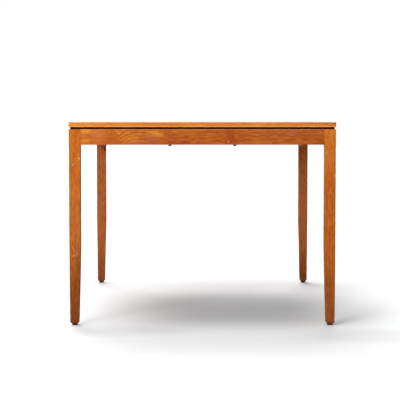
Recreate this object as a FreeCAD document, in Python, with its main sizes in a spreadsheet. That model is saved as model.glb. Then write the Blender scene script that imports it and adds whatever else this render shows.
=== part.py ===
# Parsons dining table: a veneered, lipped top carried on a shadow-gap frame of stub-tenoned aprons and
# tapered legs, drawn together at each corner by a dadoed block and two hanger bolts.
# Millimetres, +Z up. The origin is on the floor under the middle of the table, which is longest along Y.
# The front is the short end towards -Y, and left is towards -X.

import FreeCAD, Part
import os
import re
import Sketcher
from FreeCAD import Placement, Rotation, Vector

document = FreeCAD.newDocument("parsons_dining_table")

# ---------------------------------------------------------------- driving dimensions

DRIVING = {
    # overall
    "table_width": 965,
    "table_length": 1524,
    "table_height": 737,
    # top: core between two veneers, with solid lippings all round
    "top_thickness": 18,
    "top_overhang": 0.3,
    "veneer_thickness": 0.6,
    "lipping_width": 4,
    "lipping_arris": 1.2,
    "lipping_corner_ease": 1.5,
    # spacer strips that hold the top clear of the frame
    "spacer_thickness": 7,
    "spacer_recess": 5,
    # aprons and their stub tenons
    "apron_height": 56,
    "apron_thickness": 22,
    "apron_arris": 1.5,
    "tenon_thickness": 9,
    "tenon_length": 15,
    "tenon_top_shoulder": 8,
    "tenon_bottom_shoulder": 6,
    "cheek_clearance": 0.1,
    "mortise_end_gap": 1,
    # legs
    "leg_width": 42,
    "leg_arris": 2,
    "taper_height": 285,
    "foot_outer_taper": 2.5,
    "foot_inner_taper": 7.5,
    "foot_ease_height": 3.5,
    "foot_ease_inset": 2.5,
    # corner blocks
    "block_thickness": 28,
    "block_height": 44,
    "block_leg_gap": 4,
    "tongue_thickness": 8,
    "tongue_depth": 6,
    # hanger bolts, their washers and nuts
    "hanger_diameter": 8,
    "hanger_spacing": 22,
    "hanger_grip": 28,
    "hanger_point": 7,
    "hanger_end_ease": 0.8,
    "hanger_projection": 3,
    "hanger_clearance": 0.5,
    "hanger_washer_diameter": 18,
    "hanger_washer_thickness": 1.6,
    "hanger_nut_flats": 13,
    "hanger_nut_height": 6.5,
    # bolts that hold the top down, their washers and threaded inserts
    "top_bolt_diameter": 6,
    "top_bolt_engagement": 9.8,
    "top_bolt_clearance": 0.3,
    "top_bolt_head_diameter": 12,
    "top_bolt_head_height": 2.9,
    "top_bolt_head_rounding": 1.4,
    "socket_flats": 4,
    "socket_depth": 2,
    "flat_washer_diameter": 12,
    "flat_washer_thickness": 1.6,
    "spring_washer_diameter": 11.6,
    "spring_washer_thickness": 1.6,
    "spring_washer_sweep": 350,
    "insert_diameter": 10,
    "insert_length": 13,
    "end_bolt_inner": 117,
    "end_bolt_outer": 357,
    # cross rails under the top and their screws
    "rail_offset": 254,
    "rail_width": 60,
    "rail_thickness": 25,
    "rail_tenon_thickness": 9,
    "rail_tenon_length": 10,
    "rail_tenon_shoulder": 8,
    "rail_tenon_rise": 3,
    "rail_screw_offset": 300,
    "rail_screw_diameter": 4.5,
    "rail_screw_grip": 13,
    "rail_screw_point": 5,
    "rail_screw_head_diameter": 9,
    "rail_screw_head_height": 3,
    "rail_screw_head_rounding": 2,
    # glides and the nails moulded into them
    "glide_diameter": 22,
    "glide_height": 9,
    "glide_rounding": 5,
    "glide_sole": 4,
    "nail_diameter": 3,
    "nail_grip": 16,
    "nail_point": 4,
    "nail_head_diameter": 8,
    "nail_head_thickness": 1.5,
    # slack between a fastener and the hole that it fills
    "fastener_slack": 0.05,
}

# sizes that follow from the driving ones; every position below is written with these
DERIVED = {
    "frame_width": "table_width - 2 * top_overhang",
    "frame_length": "table_length - 2 * top_overhang",
    "top_bottom": "table_height - top_thickness",
    "frame_top": "top_bottom - spacer_thickness",
    "apron_bottom": "frame_top - apron_height",
    "apron_middle": "apron_bottom + apron_height / 2",
    "apron_centre_line": "apron_thickness / 2",
    "tenon_near_face": "apron_centre_line - tenon_thickness / 2",
    "tenon_far_face": "apron_centre_line + tenon_thickness / 2",
    "tenon_bottom": "apron_bottom + tenon_bottom_shoulder",
    "tenon_top": "frame_top - tenon_top_shoulder",
    "foot_centre": "(foot_outer_taper + leg_width - foot_inner_taper) / 2",
    "hanger_hole_diameter": "hanger_diameter + 2 * hanger_clearance",
    "top_bolt_hole_diameter": "top_bolt_diameter + 2 * top_bolt_clearance",
    # distances along a corner's diagonal, from the outer corner of the leg
    "leg_diagonal": "leg_width * sqrt(2)",
    "block_near_face": "leg_diagonal + block_leg_gap",
    "block_far_face": "block_near_face + block_thickness",
    "hanger_tip": "leg_diagonal - hanger_grip",
    "hanger_nut_seat": "block_far_face + hanger_washer_thickness",
    "hanger_end": "hanger_nut_seat + hanger_nut_height + hanger_projection",
    # distances along an apron, from the outer corner of the leg
    "block_near_edge": "block_near_face * sqrt(2) - apron_thickness",
    "block_far_edge": "block_far_face * sqrt(2) - apron_thickness",
    "tongue_near_side": "(block_near_edge + block_far_edge - tongue_thickness) / 2",
    "tongue_far_side": "tongue_near_side + tongue_thickness",
    "side_bolt_inner": "rail_offset / 2",
    "side_bolt_outer": "(rail_offset + frame_length / 2 - leg_width) / 2",
    "flat_washer_bottom": "apron_bottom - flat_washer_thickness",
    "spring_washer_bottom": "flat_washer_bottom - spring_washer_thickness",
    "rail_bottom": "top_bottom - rail_thickness",
    "rail_tenon_bottom": "rail_bottom + rail_tenon_rise",
    "rail_tenon_half_width": "rail_width / 2 - rail_tenon_shoulder",
    "glide_pocket_top": "glide_sole + nail_head_thickness + fastener_slack",
}

sheet = document.addObject("Spreadsheet::Sheet", "Dimensions")


def write_row(row, name, content):
    """One line of the sheet: the name of a size, then its value under that name."""
    sheet.set(f"A{row}", name)
    sheet.set(f"B{row}", content)
    sheet.setAlias(f"B{row}", name)


for row, (name, number) in enumerate(DRIVING.items(), start=1):
    write_row(row, name, str(number))
for row, (name, formula) in enumerate(DERIVED.items(), start=len(DRIVING) + 1):
    write_row(row, name, "=" + formula)
document.recompute()


# ---------------------------------------------------------------- sketches and features

def cells(formula):
    """Write each size in a formula the way another object's expression reads it."""
    return re.sub(r"[a-z]+(?:_[a-z]+)+", r"Dimensions.\g<0>", formula)


def value(formula):
    """What a formula of sizes comes to now, in millimetres."""
    return float(sheet.evalExpression(cells(formula)))


def origin_feature(body, role):
    """One of a body's own origin planes or axes."""
    return next(feature for feature in body.Origin.OriginFeatures if feature.Role == role)


def new_body(name, turn=0, x="0", y="0"):
    """A body named for its piece, turned about Z in degrees and moved over the floor by formulas."""
    body = document.addObject("PartDesign::Body", name)
    body.Label = name
    body.Placement = Placement(Vector(), Rotation(Vector(0, 0, 1), turn))
    body.setExpression("Placement.Base.x", cells(x))
    body.setExpression("Placement.Base.y", cells(y))
    return body


def new_sketch(body, name, plane, right="0", up="0", out="0", turn=Rotation()):
    """A sketch on one of the body's origin planes, moved by formulas along the plane's own axes.

    right, up and out are +X, +Y, +Z on XY_Plane; +X, +Z, -Y on XZ_Plane; and +Y, +Z, +X on YZ_Plane.
    """
    sketch = body.newObject("Sketcher::SketchObject", f"{body.Name}_{name}")
    sketch.AttachmentSupport = [(origin_feature(body, plane), "")]
    sketch.MapMode = "FlatFace"
    sketch.AttachmentOffset = Placement(Vector(), turn)
    for axis, formula in (("x", right), ("y", up), ("z", out)):
        sketch.setExpression(f"AttachmentOffset.Base.{axis}", cells(formula))
    return sketch


def dimension(sketch, formula, kind, *references):
    """Add a dimension to a sketch and bind it to a formula."""
    index = sketch.addConstraint(Sketcher.Constraint(kind, *references, value(formula)))
    sketch.setExpression(f"Constraints[{index}]", cells(formula))


def outline(sketch, corners):
    """Draw a closed outline whose corners are (across, up) or (across, up, rounding) formulas."""
    points = [Vector(value(corner[0]), value(corner[1]), 0) for corner in corners]
    count = len(corners)
    first = sketch.GeometryCount
    for index, point in enumerate(points):
        sketch.addGeometry(Part.LineSegment(point, points[(index + 1) % count]), False)
    for index, corner in enumerate(corners):
        next_line = first + (index + 1) % count
        sketch.addConstraint(Sketcher.Constraint("Coincident", first + index, 2, next_line, 1))
        dimension(sketch, corner[0], "DistanceX", -1, 1, first + index, 1)
        dimension(sketch, corner[1], "DistanceY", -1, 1, first + index, 1)
    for index, corner in enumerate(corners):
        if len(corner) == 3:
            arc = sketch.GeometryCount
            sketch.fillet(first + (index - 1) % count, 2, value(corner[2]), True, True)
            dimension(sketch, corner[2], "Radius", arc)
    return sketch


def rectangle(sketch, left, bottom, right, top):
    """Draw an upright rectangle between two corners."""
    return outline(sketch, [(left, bottom), (right, bottom), (right, top), (left, top)])


def circle(sketch, across, up, diameter):
    """Draw a circle about a point."""
    middle = Vector(value(across), value(up), 0)
    index = sketch.addGeometry(Part.Circle(middle, Vector(0, 0, 1), value(diameter) / 2), False)
    dimension(sketch, across, "DistanceX", -1, 1, index, 3)
    dimension(sketch, up, "DistanceY", -1, 1, index, 3)
    dimension(sketch, diameter, "Diameter", index)
    return sketch


def hexagon(sketch, flats):
    """Draw a hexagon about the sketch's origin, with two flats facing up and down."""
    half = f"({flats}) / 2"
    far = f"({flats}) / sqrt(3)"
    near = f"({flats}) / sqrt(12)"
    return outline(sketch, [(far, "0"), (near, half), (f"-({near})", half),
                            (f"-({far})", "0"), (f"-({near})", f"-({half})"), (near, f"-({half})")])


def pad(body, sketch, length, centred=False):
    """Raise a sketch into solid, outwards or to both sides of its plane."""
    feature = body.newObject("PartDesign::Pad", f"{sketch.Name}_pad")
    feature.Profile = sketch
    feature.Midplane = centred
    feature.setExpression("Length", cells(length))
    body.Tip = feature
    document.recompute()


def pocket(body, sketch, depth=None, outwards=False):
    """Cut a sketch out of the solid behind it, or ahead of it, to a depth or right through."""
    volume_before = body.Shape.Volume
    feature = body.newObject("PartDesign::Pocket", f"{sketch.Name}_pocket")
    feature.Profile = sketch
    feature.Reversed = outwards
    if depth is None:
        feature.Type = "ThroughAll"
    else:
        feature.setExpression("Length", cells(depth))
    body.Tip = feature
    document.recompute()
    if not body.Shape.Volume < volume_before:
        raise ValueError(f"{feature.Name} cuts nothing")


def revolve(body, sketch, axis="V_Axis", sweep="360"):
    """Turn a sketch about its own vertical or horizontal axis."""
    feature = body.newObject("PartDesign::Revolution", f"{sketch.Name}_turned")
    feature.Profile = sketch
    feature.ReferenceAxis = (sketch, [axis])
    feature.setExpression("Angle", cells(sweep))
    body.Tip = feature
    document.recompute()


def repeat_along(body, axis, length, count, backwards=False):
    """Repeat the whole body along one of its origin axes, over a length."""
    feature = body.newObject("PartDesign::LinearPattern", f"{body.Name}_along_{axis[0]}")
    feature.TransformMode = "Whole shape"
    feature.Direction = (origin_feature(body, axis), [""])
    feature.Reversed = backwards
    feature.setExpression("Length", cells(length))
    feature.Occurrences = count
    body.Tip = feature
    document.recompute()


def mirror(body, plane):
    """Add the mirror image of the whole body in one of its origin planes."""
    feature = body.newObject("PartDesign::Mirrored", f"{body.Name}_mirrored_in_{plane[:2]}")
    feature.TransformMode = "Whole shape"
    feature.MirrorPlane = (origin_feature(body, plane), [""])
    body.Tip = feature
    document.recompute()


def mirror_to_four(body):
    """Repeat the whole body on the other side of the table, then both at its other end."""
    mirror(body, "YZ_Plane")
    mirror(body, "XZ_Plane")


# ---------------------------------------------------------------- where things stand

# each corner of the frame: its side in X and in Y, and the turn that points a leg's inside at the table
CORNERS = {
    "front_left": (-1, -1, 0),
    "front_right": (1, -1, 90),
    "back_right": (1, 1, 180),
    "back_left": (-1, 1, 270),
}

# each edge of the table: its side in X and in Y, and the turn that points its inside at the table
FRONT, RIGHT, BACK, LEFT = (0, -1, 0), (1, 0, 90), (0, 1, 180), (-1, 0, 270)

END_BOLTS = [f"{side} * {reach}" for side in (-1, 1) for reach in ("end_bolt_inner", "end_bolt_outer")]
SIDE_BOLTS = [f"{side} * {reach}" for side in (-1, 1) for reach in ("side_bolt_inner", "side_bolt_outer")]
RAIL_SCREWS = ["-rail_screw_offset", "0", "rail_screw_offset"]


def at_edge(name, edge, width, length):
    """A body whose X axis runs along one edge of a rectangle, with Y pointing inwards."""
    side_x, side_y, turn = edge
    return new_body(name, turn, f"{side_x} * {width} / 2", f"{side_y} * {length} / 2")


def at_corner(name, corner, inset="0"):
    """A body whose origin is an outer corner of the frame, or inset from it, with X and Y inwards."""
    side_x, side_y, turn = CORNERS[corner]
    return new_body(name, turn, f"{side_x} * (frame_width / 2 - {inset})",
                    f"{side_y} * (frame_length / 2 - {inset})")


def diagonal_sketch(body, name, distance):
    """An upright sketch across a corner's diagonal, facing the table, for a body at that corner."""
    return new_sketch(body, name, "XZ_Plane", right=f"({distance}) / sqrt(2)",
                      out=f"-({distance}) / sqrt(2)", turn=Rotation(Vector(0, 1, 0), 135))


# ---------------------------------------------------------------- top

def veneer_or_core(name, bottom, thickness):
    """A flat sheet inside the lippings."""
    body = new_body(name)
    half_width = "(table_width / 2 - lipping_width)"
    half_length = "(table_length / 2 - lipping_width)"
    sketch = new_sketch(body, "plan", "XY_Plane", out=bottom)
    rectangle(sketch, f"-{half_width}", f"-{half_length}", half_width, half_length)
    pad(body, sketch, thickness)
    return body


def drill_for_top_fixings(body):
    """Holes in the underside of the top for the threaded inserts and the cross-rail screws."""
    insert_holes = new_sketch(body, "insert_holes", "XY_Plane", out="top_bottom")
    for side in (-1, 1):
        for across in END_BOLTS:
            circle(insert_holes, across, f"{side} * (frame_length / 2 - apron_centre_line)",
                   "insert_diameter + 2 * fastener_slack")
        for along in SIDE_BOLTS:
            circle(insert_holes, f"{side} * (frame_width / 2 - apron_centre_line)", along,
                   "insert_diameter + 2 * fastener_slack")
    pocket(body, insert_holes, "insert_length + fastener_slack", outwards=True)
    screw_holes = new_sketch(body, "screw_holes", "XY_Plane", out="top_bottom")
    for side in (-1, 1):
        for across in RAIL_SCREWS:
            circle(screw_holes, across, f"{side} * rail_offset", "rail_screw_diameter + 2 * fastener_slack")
    pocket(body, screw_holes, "rail_screw_grip + fastener_slack", outwards=True)


def lipping(name, edge, length):
    """A solid edging strip, eased along its outer arrises and mitred at both ends."""
    body = at_edge(name, edge, "table_width", "table_length")
    section = new_sketch(body, "section", "YZ_Plane")
    outline(section, [("0", "top_bottom", "lipping_arris"), ("lipping_width", "top_bottom"),
                      ("lipping_width", "table_height"), ("0", "table_height", "lipping_arris")])
    pad(body, section, length, centred=True)
    # each saw cut follows the mitre, and takes the sharp outer corner off square to it
    mitres = new_sketch(body, "mitres", "XY_Plane")
    for side in (-1, 1):
        outline(mitres, [
            (f"{side} * ({length} / 2 - lipping_corner_ease - 1)", "-1"),
            (f"{side} * ({length} / 2 - lipping_corner_ease / 2)", "lipping_corner_ease / 2"),
            (f"{side} * ({length} / 2 - lipping_width - 1)", "lipping_width + 1"),
            (f"{side} * ({length} / 2 + 1)", "lipping_width + 1"),
            (f"{side} * ({length} / 2 + 1)", "-1"),
        ])
    pocket(body, mitres, outwards=True)


core = veneer_or_core("top_core", "top_bottom + veneer_thickness", "top_thickness - 2 * veneer_thickness")
drill_for_top_fixings(core)
backing = veneer_or_core("top_backing_veneer", "top_bottom", "veneer_thickness")
drill_for_top_fixings(backing)
veneer_or_core("top_face_veneer", "table_height - veneer_thickness", "veneer_thickness")
lipping("top_lipping_front", FRONT, "table_width")
lipping("top_lipping_back", BACK, "table_width")
lipping("top_lipping_left", LEFT, "table_length")
lipping("top_lipping_right", RIGHT, "table_length")


# ---------------------------------------------------------------- spacer strips

def spacer(name, edge, length, bolts):
    """A strip on top of an apron, set back from its face, with a hole for each bolt."""
    body = at_edge(name, edge, "frame_width", "frame_length")
    plan = new_sketch(body, "plan", "XY_Plane", out="frame_top")
    rectangle(plan, f"-({length}) / 2", "spacer_recess", f"({length}) / 2", "apron_thickness")
    for along in bolts:
        circle(plan, along, "apron_centre_line", "top_bolt_hole_diameter")
    pad(body, plan, "spacer_thickness")


spacer("spacer_front", FRONT, "frame_width - 2 * spacer_recess", END_BOLTS)
spacer("spacer_back", BACK, "frame_width - 2 * spacer_recess", END_BOLTS)
spacer("spacer_left", LEFT, "frame_length - 2 * apron_thickness", SIDE_BOLTS)
spacer("spacer_right", RIGHT, "frame_length - 2 * apron_thickness", SIDE_BOLTS)


# ---------------------------------------------------------------- legs

def leg_section(body, name, height, outer_inset="0", inner_inset="0", rounding="leg_arris"):
    """The leg's rounded square at one height, set in from its outer and its inner faces."""
    near = outer_inset
    far = f"leg_width - ({inner_inset})"
    sketch = new_sketch(body, name, "XY_Plane", out=height)
    return outline(sketch, [(near, near, rounding), (far, near, rounding),
                            (far, far, rounding), (near, far, rounding)])


def leg(name, corner):
    """A square leg, tapered below on all four faces, mortised for two aprons and drilled for its bolts."""
    body = at_corner(name, corner)
    sections = [
        leg_section(body, "foot_edge", "glide_height", "foot_outer_taper + foot_ease_inset",
                    "foot_inner_taper + foot_ease_inset", "leg_arris / 2"),
        leg_section(body, "foot", "glide_height + foot_ease_height", "foot_outer_taper", "foot_inner_taper"),
        leg_section(body, "taper_start", "taper_height"),
        leg_section(body, "leg_end", "frame_top"),
    ]
    shaft = body.newObject("PartDesign::AdditiveLoft", f"{body.Name}_shaft")
    shaft.Profile = sections[0]
    shaft.Sections = sections[1:]
    shaft.Ruled = True
    body.Tip = shaft
    document.recompute()

    # mortises in the two inner faces, one for each apron
    for plane, out, outwards in (("YZ_Plane", "leg_width", False), ("XZ_Plane", "-leg_width", True)):
        mortise = new_sketch(body, f"mortise_{plane[:2]}", plane, out=out)
        rectangle(mortise, "tenon_near_face - cheek_clearance", "tenon_bottom - cheek_clearance",
                  "tenon_far_face + cheek_clearance", "tenon_top + cheek_clearance")
        pocket(body, mortise, "tenon_length + mortise_end_gap", outwards)

    # pilot holes for the hanger bolts through the inner arris, and one for the glide's nail
    pilots = diagonal_sketch(body, "bolt_pilots", "hanger_tip")
    for side in (-1, 1):
        circle(pilots, "0", f"apron_middle + {side} * hanger_spacing / 2",
               "hanger_diameter + 2 * fastener_slack")
    pocket(body, pilots, "hanger_grip", outwards=True)
    nail_pilot = new_sketch(body, "nail_pilot", "XY_Plane", out="glide_height")
    circle(nail_pilot, "foot_centre", "foot_centre", "nail_diameter + 2 * fastener_slack")
    pocket(body, nail_pilot, "nail_grip + fastener_slack", outwards=True)


for corner in CORNERS:
    leg(f"leg_{corner}", corner)


# ---------------------------------------------------------------- aprons

def apron(name, edge, frame_side, bolts):
    """A board between two legs, with a stub tenon, a dado for a corner block and its bolt holes."""
    body = at_edge(name, edge, "frame_width", "frame_length")
    section = new_sketch(body, "section", "YZ_Plane")
    outline(section, [("0", "apron_bottom", "apron_arris"),
                      ("apron_thickness", "apron_bottom", "apron_arris"),
                      ("apron_thickness", "frame_top"), ("0", "frame_top")])
    pad(body, section, f"{frame_side} - 2 * leg_width", centred=True)
    tenons = new_sketch(body, "tenons", "YZ_Plane")
    rectangle(tenons, "tenon_near_face", "tenon_bottom", "tenon_far_face", "tenon_top")
    pad(body, tenons, f"{frame_side} - 2 * leg_width + 2 * tenon_length", centred=True)

    dados = new_sketch(body, "dados", "XZ_Plane", out="-apron_thickness")
    for side in (-1, 1):
        rectangle(dados, f"{side} * ({frame_side} / 2 - tongue_far_side - cheek_clearance)", "apron_bottom",
                  f"{side} * ({frame_side} / 2 - tongue_near_side + cheek_clearance)", "frame_top")
    pocket(body, dados, "tongue_depth + mortise_end_gap", outwards=True)

    bolt_holes = new_sketch(body, "bolt_holes", "XY_Plane", out="apron_bottom")
    for along in bolts:
        circle(bolt_holes, along, "apron_centre_line", "top_bolt_hole_diameter")
    pocket(body, bolt_holes, outwards=True)
    return body


def mortise_for_cross_rails(body):
    """Two stopped mortises in the inner face of a side apron."""
    mortises = new_sketch(body, "rail_mortises", "XZ_Plane", out="-apron_thickness")
    for side in (-1, 1):
        rectangle(mortises, f"{side} * rail_offset - rail_tenon_half_width - cheek_clearance",
                  "rail_tenon_bottom - cheek_clearance",
                  f"{side} * rail_offset + rail_tenon_half_width + cheek_clearance",
                  "rail_tenon_bottom + rail_tenon_thickness + cheek_clearance")
    pocket(body, mortises, "rail_tenon_length + mortise_end_gap", outwards=True)


apron("end_apron_front", FRONT, "frame_width", END_BOLTS)
apron("end_apron_back", BACK, "frame_width", END_BOLTS)
mortise_for_cross_rails(apron("side_apron_left", LEFT, "frame_length", SIDE_BOLTS))
mortise_for_cross_rails(apron("side_apron_right", RIGHT, "frame_length", SIDE_BOLTS))


# ---------------------------------------------------------------- cross rails

def cross_rail(name, side):
    """A flat rail under the top, tenoned into both side aprons and drilled for three screws."""
    body = new_body(name, y=f"{side} * rail_offset")
    section = new_sketch(body, "section", "YZ_Plane")
    rectangle(section, "-rail_width / 2", "rail_bottom", "rail_width / 2", "top_bottom")
    pad(body, section, "frame_width - 2 * apron_thickness", centred=True)
    tenons = new_sketch(body, "tenons", "YZ_Plane")
    rectangle(tenons, "-rail_tenon_half_width", "rail_tenon_bottom",
              "rail_tenon_half_width", "rail_tenon_bottom + rail_tenon_thickness")
    pad(body, tenons, "frame_width - 2 * apron_thickness + 2 * rail_tenon_length", centred=True)
    screw_holes = new_sketch(body, "screw_holes", "XY_Plane", out="rail_bottom")
    for across in RAIL_SCREWS:
        circle(screw_holes, across, "0", "rail_screw_diameter + 2 * fastener_slack")
    pocket(body, screw_holes, outwards=True)


cross_rail("cross_rail_front", -1)
cross_rail("cross_rail_back", 1)


def cross_rail_screws():
    """Pan-headed screws up through the rails into the core."""
    body = new_body("cross_rail_screws")
    profile = new_sketch(body, "profile", "XZ_Plane", right="-rail_screw_offset", up="rail_bottom",
                         out="rail_offset")
    tip = "rail_thickness + rail_screw_grip"
    outline(profile, [
        ("0", "-rail_screw_head_height"),
        ("rail_screw_head_diameter / 2", "-rail_screw_head_height", "rail_screw_head_rounding"),
        ("rail_screw_head_diameter / 2", "0"),
        ("rail_screw_diameter / 2", "0"),
        ("rail_screw_diameter / 2", f"{tip} - rail_screw_point"),
        ("0", tip),
    ])
    revolve(body, profile)
    repeat_along(body, "X_Axis", "2 * rail_screw_offset", len(RAIL_SCREWS))
    mirror(body, "XZ_Plane")


cross_rail_screws()


# ---------------------------------------------------------------- corner blocks and hanger bolts

def corner_block(name, corner):
    """A block across a corner, with a tongue in each apron's dado and two holes for the hanger bolts."""
    body = at_corner(name, corner)
    half = [
        ("block_near_edge", "apron_thickness"),
        ("tongue_near_side", "apron_thickness"),
        ("tongue_near_side", "apron_thickness - tongue_depth"),
        ("tongue_far_side", "apron_thickness - tongue_depth"),
        ("tongue_far_side", "apron_thickness"),
        ("block_far_edge", "apron_thickness"),
    ]
    other_half = [(up, across) for across, up in reversed(half)]
    plan = new_sketch(body, "plan", "XY_Plane", out="apron_middle - block_height / 2")
    pad(body, outline(plan, half + other_half), "block_height")
    holes = diagonal_sketch(body, "bolt_holes", "0")
    for side in (-1, 1):
        circle(holes, "0", f"apron_middle + {side} * hanger_spacing / 2", "hanger_hole_diameter")
    pocket(body, holes, outwards=True)


for corner in CORNERS:
    corner_block(f"corner_block_{corner}", corner)


def hanger_group(name, profile_corners):
    """A turned piece on each hanger bolt's line, two to a corner at all four corners."""
    body = new_body(name)
    profile = new_sketch(body, "profile", "XY_Plane", right="-frame_width / 2", up="-frame_length / 2",
                         out="apron_middle - hanger_spacing / 2", turn=Rotation(Vector(0, 0, 1), 45))
    revolve(body, outline(profile, profile_corners), axis="H_Axis")
    repeat_along(body, "Z_Axis", "hanger_spacing", 2)
    mirror_to_four(body)


hanger_group("hanger_bolts", [
    ("hanger_tip", "0"),
    ("hanger_tip + hanger_point", "hanger_diameter / 2"),
    ("hanger_end - hanger_end_ease", "hanger_diameter / 2"),
    ("hanger_end", "hanger_diameter / 2 - hanger_end_ease"),
    ("hanger_end", "0"),
])
hanger_group("hanger_bolt_washers", [
    ("block_far_face", "hanger_hole_diameter / 2"),
    ("hanger_nut_seat", "hanger_hole_diameter / 2"),
    ("hanger_nut_seat", "hanger_washer_diameter / 2"),
    ("block_far_face", "hanger_washer_diameter / 2"),
])


def hanger_nuts():
    """Hexagon nuts on the hanger bolts, tight against their washers."""
    body = new_body("hanger_bolt_nuts")
    seat = "hanger_nut_seat / sqrt(2)"
    plan = new_sketch(body, "plan", "XZ_Plane", right=f"-frame_width / 2 + {seat}",
                      up="apron_middle - hanger_spacing / 2", out=f"frame_length / 2 - {seat}",
                      turn=Rotation(Vector(0, 1, 0), 135))
    hexagon(plan, "hanger_nut_flats")
    circle(plan, "0", "0", "hanger_diameter + 2 * fastener_slack")
    pad(body, plan, "hanger_nut_height")
    repeat_along(body, "Z_Axis", "hanger_spacing", 2)
    mirror_to_four(body)


hanger_nuts()


# ---------------------------------------------------------------- bolts that hold the top down

# the outer bolt of each row: where it stands, and the way and distance to the inner one
BOLT_ROWS = {
    "end": ("end_bolt_outer", "frame_length / 2 - apron_centre_line",
            "X_Axis", "end_bolt_outer - end_bolt_inner"),
    "side": ("frame_width / 2 - apron_centre_line", "side_bolt_outer",
             "Y_Axis", "side_bolt_outer - side_bolt_inner"),
}


def bolt_row_sketch(body, row, height):
    """An upright sketch whose vertical axis is the line of a row's outer bolt."""
    reach_x, reach_y, _, _ = BOLT_ROWS[row]
    return new_sketch(body, "profile", "XZ_Plane", right=f"-({reach_x})", up=height, out=reach_y)


def repeat_bolt_row(body, row):
    """Repeat one bolt's piece along its apron, then on the other aprons like it."""
    _, _, axis, length = BOLT_ROWS[row]
    repeat_along(body, axis, length, 2)
    mirror_to_four(body)


def top_bolts(name, row):
    """Round-edged socket bolts, up through the apron and its spacer into the top."""
    body = new_body(name)
    profile = bolt_row_sketch(body, row, "spring_washer_bottom")
    tip = "top_bottom + top_bolt_engagement - spring_washer_bottom"
    outline(profile, [
        ("0", "-top_bolt_head_height"),
        ("top_bolt_head_diameter / 2", "-top_bolt_head_height", "top_bolt_head_rounding"),
        ("top_bolt_head_diameter / 2", "0"),
        ("top_bolt_diameter / 2", "0"),
        ("top_bolt_diameter / 2", tip),
        ("0", tip),
    ])
    revolve(body, profile)
    reach_x, reach_y, _, _ = BOLT_ROWS[row]
    socket = new_sketch(body, "socket", "XY_Plane", right=f"-({reach_x})", up=f"-({reach_y})",
                        out="spring_washer_bottom - top_bolt_head_height")
    pocket(body, hexagon(socket, "socket_flats"), "socket_depth", outwards=True)
    repeat_bolt_row(body, row)


def ring_group(name, row, bottom, bore, diameter, thickness, sweep="360"):
    """A ring on each bolt of a row: a washer, a split spring washer or a threaded insert."""
    body = new_body(name)
    profile = bolt_row_sketch(body, row, bottom)
    rectangle(profile, f"({bore}) / 2", "0", f"({diameter}) / 2", thickness)
    revolve(body, profile, sweep=sweep)
    repeat_bolt_row(body, row)


for row in BOLT_ROWS:
    top_bolts(f"{row}_top_bolts", row)
    ring_group(f"{row}_bolt_washers", row, "flat_washer_bottom", "top_bolt_diameter + 2 * cheek_clearance",
               "flat_washer_diameter", "flat_washer_thickness")
    ring_group(f"{row}_bolt_spring_washers", row, "spring_washer_bottom",
               "top_bolt_diameter + 2 * cheek_clearance", "spring_washer_diameter",
               "spring_washer_thickness", "spring_washer_sweep")
    ring_group(f"{row}_bolt_inserts", row, "top_bottom", "top_bolt_diameter + 2 * fastener_slack",
               "insert_diameter", "insert_length")


# ---------------------------------------------------------------- glides

def glide(name, corner):
    """A round-edged foot button with a pocket in which its nail is moulded."""
    body = at_corner(name, corner, "foot_centre")
    profile = new_sketch(body, "profile", "XZ_Plane")
    shank_hole = "nail_diameter / 2 + fastener_slack"
    head_hole = "nail_head_diameter / 2 + fastener_slack"
    outline(profile, [
        ("0", "0"),
        ("glide_diameter / 2", "0", "glide_rounding"),
        ("glide_diameter / 2", "glide_height"),
        (shank_hole, "glide_height"),
        (shank_hole, "glide_pocket_top"),
        (head_hole, "glide_pocket_top"),
        (head_hole, "glide_sole"),
        ("0", "glide_sole"),
    ])
    revolve(body, profile)


for corner in CORNERS:
    glide(f"glide_{corner}", corner)


def glide_nails():
    """A nail from each glide up into its leg."""
    body = new_body("glide_nails")
    profile = new_sketch(body, "profile", "XZ_Plane", right="-(frame_width / 2 - foot_centre)",
                         out="frame_length / 2 - foot_centre")
    tip = "glide_height + nail_grip"
    outline(profile, [
        ("0", "glide_sole"),
        ("nail_head_diameter / 2", "glide_sole"),
        ("nail_head_diameter / 2", "glide_sole + nail_head_thickness"),
        ("nail_diameter / 2", "glide_sole + nail_head_thickness"),
        ("nail_diameter / 2", f"{tip} - nail_point"),
        ("0", tip),
    ])
    revolve(body, profile)
    mirror_to_four(body)


glide_nails()


# ---------------------------------------------------------------- check and write

document.recompute()
for item in document.Objects:
    if "Invalid" in item.State or "Error" in item.State:
        raise ValueError(f"{item.Label} failed: {item.State}")

pieces = [item for item in document.Objects if item.TypeId == "PartDesign::Body"]
for piece in pieces:
    if piece.Shape.isNull() or not piece.Shape.isValid() or not piece.Shape.Solids:
        raise ValueError(f"{piece.Label} has no valid solid")

os.makedirs("parts", exist_ok=True)
for piece in pieces:
    piece.Shape.exportStep(f"parts/{piece.Label}.step")
    print(f"{piece.Label}: {len(piece.Shape.Solids)} solid(s), {piece.Shape.Volume / 1000:.1f} cm3")
print(f"{len(pieces)} nodes")
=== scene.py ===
# %% [markdown]
# # Dressing a dining table
# The table was drawn in CAD as separate pieces: a lipped and veneered top, a shadow gap, four aprons, four
# tapered legs, and the blocks, bolts and screws that hold them. CAD gives every piece its true size and
# place. This lesson loads those pieces and gives them what CAD can't: wood with grain and wear, plated
# metal, turned fasteners, soft light and a camera. The CAD pieces themselves are never moved or reshaped.

# %% Load the pieces
import math

import bmesh
import bpy
from mathutils import Euler, Matrix, Vector


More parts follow.
